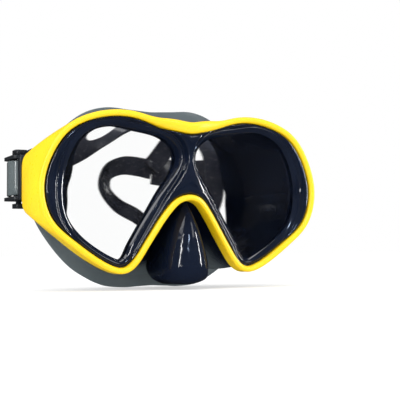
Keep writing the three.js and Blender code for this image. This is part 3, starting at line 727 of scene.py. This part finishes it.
def skirt_shell():
    outer = skirt_rings(0)
    inner = skirt_rings(SKIRT_WALL)
    root = SEAL_WIDTH
    tracks = outer[:-1]
    tracks += [seal_ring(root - 0.3, -SEAL_THICKNESS - 0.7)]
    tracks += [seal_ring(root - 1.0, -SEAL_THICKNESS - 0.1)]
    tracks += [seal_ring(w, -SEAL_THICKNESS * k) for w, k in SEAL_BACK]
    tracks += [seal_ring(w, depth) for w, depth in SEAL_TIP]
    tracks += [seal_ring(w, 0) for w in (3, 6, 9)]
    tracks += [mouth_ring(grow, depth) for grow, depth in MOUTH_EDGE]
    tracks += [seal_ring(root + SKIRT_WALL + 0.1, -SEAL_THICKNESS)]
    tracks += inner[:-1][::-1]
    return loop_body("skirt", np.stack(tracks, 1), 45)


def nose_body(name, inset, back_reach, levels=44, around=96):
    """The nose pocket: level sections from the bridge down to a rounded bottom."""
    dense = smooth_path(np.array(NOSE_LEVELS)[:, [0, 1, 2, 3]], 24, dims=1)
    z0, z1 = NOSE_LEVELS[0][0] - inset, NOSE_LEVELS[-1][0] + inset
    order = np.argsort(dense[:, 0])
    rings = []
    for z in np.linspace(z0, z1, levels):
        half, front, back = (np.interp(z, dense[order, 0], dense[order, k]) for k in (1, 2, 3))
        sink = max(0.0, (z1 + POCKET_BOTTOM - z) / POCKET_BOTTOM)
        shrink = math.sqrt(max(0.04, 1 - min(sink, 1.0) ** 2))
        width = max(half - inset, 0.8) * (0.62 + 0.38 * shrink)
        tip = front + inset + 4.0 * (1 - shrink)
        tail = back + back_reach - (inset if z < POCKET_OPEN_FROM else 0)
        a = np.linspace(0, 2 * math.pi, around, endpoint=False)
        y = np.where(np.cos(a) < 0, tip + POCKET_TIP * (1 + np.cos(a)),
                     tip + POCKET_TIP + (tail - tip - POCKET_TIP) * np.cos(a))
        x = width * np.sin(a) * (1 + 0.12 * np.abs(np.cos(a)))
        rings.append(np.stack([x, y, np.full(around, z)], 1))
    return capped_body(name, rings)


def paint_grey_and_shade(skirt):
    """Marks each point's share of matte grey: the flange and the wall's outer side; the rest is left dark,
    a painted shade on the inner sides and the wall's front, and the nose pocket's colour.
    """
    count = len(skirt.data.vertices)
    points, normals = np.empty(count * 3), np.empty(count * 3)
    skirt.data.vertices.foreach_get("co", points)
    skirt.data.vertices.foreach_get("normal", normals)
    points, normals = points.reshape(-1, 3) / MM, normals.reshape(-1, 3)
    x, y, z = points.T
    inward = nearest(points[:, [0, 2]], SEAL)
    flange = (1 - smoothstep(inward, *FLANGE)) * smoothstep(y - face_y(x, z), -3.5, -1.8)
    # painted shade: grey only where the wall faces outwards and lies back from the frame; inward faces and
    # the wall's front are painted dark as shade
    outwards = normals[:, 0] * x / 66 + normals[:, 2] * z / 45
    wall = smoothstep(outwards, 0.05, 0.35) * smoothstep(y, -34, -20)
    pocket = smoothstep(-np.abs(x), -19, -14) * (1 - smoothstep(y, -10, -4)) * (z < -3)
    grey_vs_painted_shade = np.maximum(flange, wall * (1 - pocket))
    layer = skirt.data.attributes.new("grey_vs_painted_shade", "FLOAT", "POINT")
    layer.data.foreach_set("value", grey_vs_painted_shade.astype(np.float32))


def build_skirt():
    skirt = skirt_shell()
    inner = skirt_rings(SKIRT_WALL)
    front = inner[0] - [0, 3, 0]
    rear = inner[-1] + [0, 6, 0]
    cavity = capped_body("cavity", [front, *inner, rear])
    pocket = nose_body("pocket", 0, 0)
    combine(pocket, cavity, "DIFFERENCE")
    combine(skirt, pocket, "UNION")
    combine(skirt, nose_body("pocket_inside", SKIRT_WALL, 1), "DIFFERENCE")
    edge = offset(RIM, -NECK_INSET - LEDGE_INSET)
    back = LENS_THICKNESS + GAP
    ledge = plate_body("ledge", window_ring(1, 0.3), edge, np.linspace(0, 1, 5),
                       behind_lens(back + 0.02), behind_lens(back + LIP_THICKNESS),
                       np.linspace(0, 1, 5))
    combine(skirt, ledge, "UNION")
    tidy_mesh(skirt, 38)
    paint_grey_and_shade(skirt)
    return skirt


finish_piece(build_skirt(), SKIRT, "silicone", "skirt")

# ---- strap --------------------------------------------------------------------------

TAIL_END = [(70.8, 15.5, 8.6, 0, 0, 1), (73.2, 9.5, 7.4, 0, 0, 1), (76.2, 1.5, 5.4, 0, 0, 1),
            (79.1, -8.5, 4.5, 0, 0, 1), (80.35, -14.5, 4.5, 0, 0, 1)]
ROUTE_RIGHT = [(72.25, -12.5, 4.6, 0, 0, 1), (71.4, -2, 4.6, 0, 0, 1), (69.6, 6.5, 7.6, 0, 0, 1),
               (66.2, 15, 10.6, 0, 0.1, 1), (59.4, 23.4, 13.8, 0, 0.3, 1),
               (46.2, 31, 14.5, -0.1, 0.5, 1), (33, 35.5, 13.6, -0.1, 0.4, 1), (17, 37, 16, -0.2, 0, 1)]
ROUTE_LEFT = [(-72.25, -12.5, 4.6, 0, 0, 1), (-71.3, -2, 4.6, 0, 0, 1), (-69.0, 5.5, 8.8, 0, 0, 1),
              (-63.6, 11.6, 12.6, 0, 0, 1), (-51, 16, 18, 0, 0.1, 1), (-35.5, 20, 25.5, -0.2, 0.3, 1),
              (-22, 25.5, 33.5, -0.4, 0.4, 0.9), (-7, 30, 40.5, -0.3, 0.7, 0.6), (12, 32, 43.5, 0, 1, 0.3),
              (29, 32, 42, 0.4, 0.7, 0.8)]
SPLIT_FROM, SPLIT_TO, SPLIT_WIDTH = 0.665, 0.8, 6.0   # slot in the left half
STEM_BAND = [(26.2, 32.3, 41.4, 0.6, 0, 0.6), (29.5, 33, 36, 0.9, -0.3, 0),
             (25, 34.5, 29.5, 0.8, -0.3, -0.5), (19, 36.5, 21, 0.7, -0.2, -0.6),
             (14, 37, 15.5, 0.4, 0, 0.9)]
LOOP_BAND = [(27, 31.5, 42, 0.5, 0, 0.8), (39, 28, 39.5, 0.9, -0.2, 0.5), (47.5, 25, 29, 1, -0.3, 0.1),
             (50, 23, 14, 1, -0.3, 0), (49.5, 23.5, -1, 1, -0.4, -0.1), (42, 24.5, -14, 0.8, -0.5, -0.4),
             (27, 25.5, -20.5, 0.3, -0.6, -0.8), (12, 26, -17.5, -0.2, -0.6, -0.8),
             (2, 26.5, -11, -0.4, -0.6, -0.7), (-8.5, 28, -5, -0.6, -0.6, -0.5),
             (-15, 30, 4, -0.8, -0.6, 0.1), (-12.5, 32.5, 13, -0.5, -0.6, 0.6),
             (-3, 35, 17.6, -0.1, -0.5, 0.9), (8, 36.5, 17.5, 0, -0.3, 1), (16, 37, 16, 0, 0, 1)]

RIB_PITCH = 2.6
RIB_HEIGHT = 0.4
RIBBED = (1.5, 112)       # stretch of each tail that carries ribs, in mm from its end
TAIL_STEPS, STEM_STEPS, LOOP_STEPS, SLOT_STEPS = 620, 60, 220, 400


def band_section(width, thickness, radius=0.7):
    """A rounded rectangle: (across, face) points, denser at the corners."""
    w, t = width / 2 - radius, thickness / 2 - radius
    points = []
    for cx, cy, start in ((w, t, 0), (-w, t, 90), (-w, -t, 180), (w, -t, 270)):
        for k in range(5):
            a = math.radians(start + 22.5 * k)
            points.append((cx + radius * math.cos(a), cy + radius * math.sin(a)))
    return np.array(points)


def band_frame(line):
    """Centre line, and the directions across the band and out of its face."""
    centre, lean = line[:, :3], line[:, 3:]
    along = np.gradient(centre, axis=0)
    along /= np.linalg.norm(along, axis=1)[:, None]
    across = lean - along * (lean * along).sum(1)[:, None]
    across /= np.linalg.norm(across, axis=1)[:, None]
    return centre, across, np.cross(along, across)


def ribbon(name, route, width, steps, ribs=None):
    """A flat band along a route; ribs is (first, last, face) in mm along it."""
    centre, across, face = band_frame(evenly(smooth_path(route, 24), steps))
    section = band_section(width, STRAP_THICKNESS - (RIB_HEIGHT if ribs else 0.1))
    length = np.concatenate([[0], np.cumsum(np.linalg.norm(np.diff(centre, axis=0), axis=1))])
    rings = []
    for k in range(steps + 1):
        lift = np.zeros(len(section))
        if ribs:
            first, last, side = ribs
            on = smoothstep(length[k], first, first + 2) * (1 - smoothstep(length[k], last - 2, last))
            wave = 0.5 + 0.5 * math.cos(2 * math.pi * length[k] / RIB_PITCH)
            inside = (np.sign(section[:, 1]) == side) & (np.abs(section[:, 0]) < width / 2)
            lift = np.where(inside, side * RIB_HEIGHT * on * smoothstep(wave, 0.25, 0.75), 0)
        flat = centre[k] + np.outer(section[:, 0], across[k])
        rings.append(flat + np.outer(section[:, 1] + lift, face[k]))
    return capped_body(name, rings)


def strap_side(name, side, route):
    return ribbon(name, whole_route(side, route), STRAP_WIDTH, TAIL_STEPS, (*RIBBED, side))


def split_slot(route):
    """The lens-shaped hole through the left half where the strap divides."""
    line = evenly(smooth_path(route, 24), SLOT_STEPS)
    line = line[round(SLOT_STEPS * SPLIT_FROM):round(SLOT_STEPS * SPLIT_TO) + 1]
    centre, across, face = band_frame(line)
    s = np.linspace(-1, 1, len(line))
    half = (0.2 + SPLIT_WIDTH / 2 * np.sqrt(1 - s**2))[:, None]
    depth = STRAP_THICKNESS
    corners = [centre + across * half * a + face * depth * b
               for a, b in ((1, 1), (-1, 1), (-1, -1), (1, -1))]
    return capped_body("slot", np.stack(corners, 1))


def whole_route(side, route):
    free = [(side * x, y, z, *lean) for x, y, z, *lean in TAIL_END]
    turn = [(side * (ROLLER_X + WRAP_RADIUS * math.cos(a)), ROLLER_Y + WRAP_RADIUS * math.sin(a),
             BUCKLE_Z, 0, 0, 1) for a in -np.pi * np.arange(5) / 4]
    return free + turn + route


def build_strap():
    strap = strap_side("strap", 1, ROUTE_RIGHT)
    tail = strap_side("tail_left", -1, ROUTE_LEFT)
    combine(tail, split_slot(whole_route(-1, ROUTE_LEFT)), "DIFFERENCE")
    combine(strap, tail, "UNION")
    combine(strap, ribbon("stem", STEM_BAND, BAND_WIDTH, STEM_STEPS), "UNION")
    combine(strap, ribbon("loop", LOOP_BAND, BAND_WIDTH, LOOP_STEPS), "UNION")
    tidy_mesh(strap, 40)
    return strap


finish_piece(build_strap(), STRAP, "silicone", "strap")

# ---- lenses and buckles -------------------------------------------------------------

for label in ("right", "left"):
    lens = frame["nodes"][f"lens_{label}"]
    lens.data.materials.clear()
    lens.data.materials.append(GLASS)


def rounded_copy(node, material, slot, radius):
    """A CAD piece with its edges rounded, standing in for the plain one."""
    source = frame["nodes"][node]
    mesh = source.data.copy()
    obj = bpy.data.objects.new(f"{node}_moulded", mesh)
    bpy.context.scene.collection.objects.link(obj)
    bm = bmesh.new()
    bm.from_mesh(mesh)
    bmesh.ops.remove_doubles(bm, verts=bm.verts, dist=0.01 * MM)
    bmesh.ops.dissolve_limit(bm, angle_limit=math.radians(4), verts=bm.verts, edges=bm.edges)
    bm.to_mesh(mesh)
    bm.free()
    bevel = obj.modifiers.new("round", "BEVEL")
    bevel.width = radius * MM
    bevel.segments = 2
    bevel.limit_method = "ANGLE"
    bevel.angle_limit = math.radians(35)
    bake(obj)
    obj.data.shade_smooth()
    obj.data.set_sharp_from_angle(angle=math.radians(35))
    return finish_piece(obj, material, slot, node, body=source["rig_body"])


for label in ("right", "left"):
    rounded_copy(f"buckle_base_{label}", BUCKLE, "buckle", 0.3)
    rounded_copy(f"button_upper_{label}", BUCKLE, "buckle", 0.2)
    rounded_copy(f"button_lower_{label}", BUCKLE, "buckle", 0.2)
    rounded_copy(f"buckle_screw_{label}", STEEL, "steel", 0.12)
    for node, material in ((f"strap_roller_{label}", BUCKLE), (f"pawl_{label}", BUCKLE),
                           (f"roller_pin_{label}", STEEL), (f"pawl_pin_{label}", STEEL),
                           (f"pawl_spring_{label}", STEEL)):
        part = frame["nodes"][node]
        part.data.materials.clear()
        part.data.materials.append(material)
        part.data.shade_smooth()
        part.data.set_sharp_from_angle(angle=math.radians(35))

# ---- studio -------------------------------------------------------------------------

scene = bpy.context.scene
scene.view_settings.view_transform = "Standard"

FLOOR_Z = cad_box[0][2] - 0.0002
FLOOR_REACH = 40.0
FLOOR_GLOW = 0.5
WORLD_IN_GLOSS = 0.07     # the dim room that glossy surfaces mirror between the soft boxes
FLOOR_IN_GLOSS = (0.12, 0.12, 0.13)

# name: azimuth, elevation, distance, (width, height), power, colour
SOFT_BOXES = {
    "key": (-75, 45, 1.2, (0.5, 0.5), 2.2, (1, 1, 1)),
    "fill": (35, 30, 1.4, (0.4, 0.4), 1.2, (1, 1, 1)),
    "strip_left": (-52, 4, 0.9, (0.035, 0.9), 4.0, (1, 1, 1)),
    "strip_right": (62, 8, 0.9, (0.03, 0.5), 3.0, (1, 1, 1)),
    "top": (0, 80, 1.2, (0.9, 0.25), 2.2, (1, 1, 1)),
    "glint_low": (-38, -14, 0.8, (0.03, 0.35), 1.6, (1, 1, 1)),
    "glint_blue": (-8, 24, 0.9, (0.05, 0.12), 0.7, (0.6, 0.75, 1.0)),
}

CAMERA_PLACE = (-0.1977, -0.4690, -0.0331)
CAMERA_RIGHT = (0.90012, -0.43554, -0.00889)
CAMERA_UP = (-0.01694, -0.05537, 0.99832)
CAMERA_BACK = (-0.43530, -0.89846, -0.05722)
CAMERA_LENS = 85.5


def mirrored_share(tree):
    """1 where a ray has already met a glossy surface, 0 before."""
    path = tree.nodes.new("ShaderNodeLightPath")
    share = tree.nodes.new("ShaderNodeMath")
    share.operation = "MINIMUM"
    share.inputs[1].default_value = 1.0
    tree.links.new(path.outputs["Glossy Depth"], share.inputs[0])
    return share.outputs[0]


def build_floor():
    mesh = bpy.data.meshes.new("floor")
    r = FLOOR_REACH
    corners = [(-r, -r, FLOOR_Z), (r, -r, FLOOR_Z), (r, r, FLOOR_Z), (-r, r, FLOOR_Z)]
    mesh.from_pydata(corners, [], [(0, 1, 2, 3)])
    floor = bpy.data.objects.new("floor", mesh)
    scene.collection.objects.link(floor)
    n = Nodes("floor_white")
    pale = n.mixed(n.noise(3, 2), (0.53, 0.53, 0.53), (0.56, 0.56, 0.56))
    mirrored = mirrored_share(n.material.node_tree)
    n.link(n.mixed(mirrored, pale, FLOOR_IN_GLOSS), n.shader.inputs["Base Color"])
    n.link(n.ranged(mirrored, 0, 1, FLOOR_GLOW, 0.0), n.shader.inputs["Emission Strength"])
    n.set(Roughness=0.9, Specular_IOR_Level=0.0, Emission_Color=(1, 1, 1, 1))
    floor.data.materials.append(n.material)


def area_light(name, azimuth, elevation, distance, size, power, colour):
    """A soft box aimed at the mask; azimuth 0 is straight in front, positive to +X."""
    a, e = math.radians(azimuth), math.radians(elevation)
    place = Vector((math.sin(a) * math.cos(e), -math.cos(a) * math.cos(e), math.sin(e))) * distance
    light = bpy.data.lights.new(name, "AREA")
    light.shape = "RECTANGLE"
    light.size, light.size_y = size
    light.energy = power
    light.color = colour
    obj = bpy.data.objects.new(name, light)
    obj.matrix_world = Matrix.Translation(place) @ place.to_track_quat("Z", "Y").to_matrix().to_4x4()
    scene.collection.objects.link(obj)
    return obj


def build_world():
    world = bpy.data.worlds.new("studio")
    scene.world = world
    world.use_nodes = True
    tree = world.node_tree
    background = tree.nodes["Background"]
    mix = tree.nodes.new("ShaderNodeMix")
    mix.data_type = "RGBA"
    mix.inputs["A"].default_value = (1, 1, 1, 1)
    mix.inputs["B"].default_value = (*[WORLD_IN_GLOSS] * 3, 1)
    tree.links.new(mirrored_share(tree), mix.inputs["Factor"])
    tree.links.new(mix.outputs["Result"], background.inputs["Color"])
    background.inputs["Strength"].default_value = 1.0


def build_camera():
    data = bpy.data.cameras.new("camera")
    data.sensor_width = 36
    data.lens = CAMERA_LENS
    data.clip_start = 0.01
    data.clip_end = 20
    camera = bpy.data.objects.new("camera", data)
    axes = Matrix((CAMERA_RIGHT, CAMERA_UP, CAMERA_BACK)).transposed().to_4x4()
    camera.matrix_world = Matrix.Translation(Vector(CAMERA_PLACE)) @ axes
    scene.collection.objects.link(camera)
    scene.camera = camera


build_floor()
build_world()
for name, settings in SOFT_BOXES.items():
    area_light(name, *settings)
build_camera()
